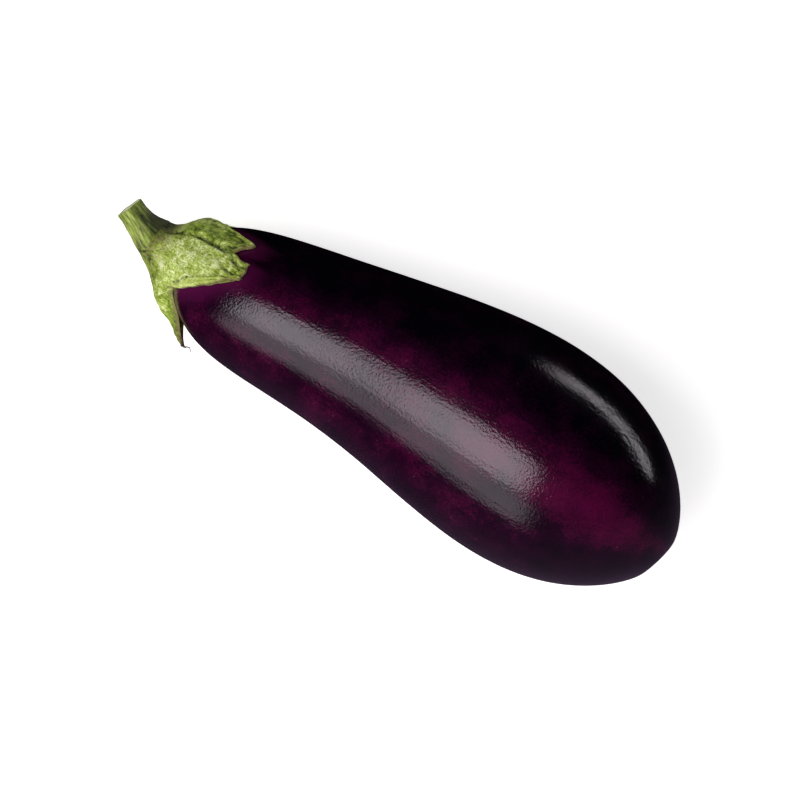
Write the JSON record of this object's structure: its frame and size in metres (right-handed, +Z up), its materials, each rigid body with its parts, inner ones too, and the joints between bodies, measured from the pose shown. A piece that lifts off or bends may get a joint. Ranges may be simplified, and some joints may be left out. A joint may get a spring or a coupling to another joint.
{
  "type": "eggplant",
  "caption": "Fresh dark purple eggplant lying on its side, slim at the neck and full at the blunt end, with a lobed green calyx and a short cut stem.",
  "frame": {"origin": "middle of the footprint of the whole eggplant, on the surface it lies on", "axes": "+X from the stem end to the blossom end, +Z up, +Y across the fruit"},
  "size_m": [0.2464, 0.0862, 0.0856],
  "materials": {
    "skin": "glossy, waxy, nearly black purple plant skin",
    "calyx": "matt, velvety pale green leaf flesh",
    "stem": "ribbed green stalk with a pale cut end"
  },
  "bodies": {
    "root": {"fruit": "skin", "calyx": "calyx", "stem": "stem"}
  },
  "joints": []
}
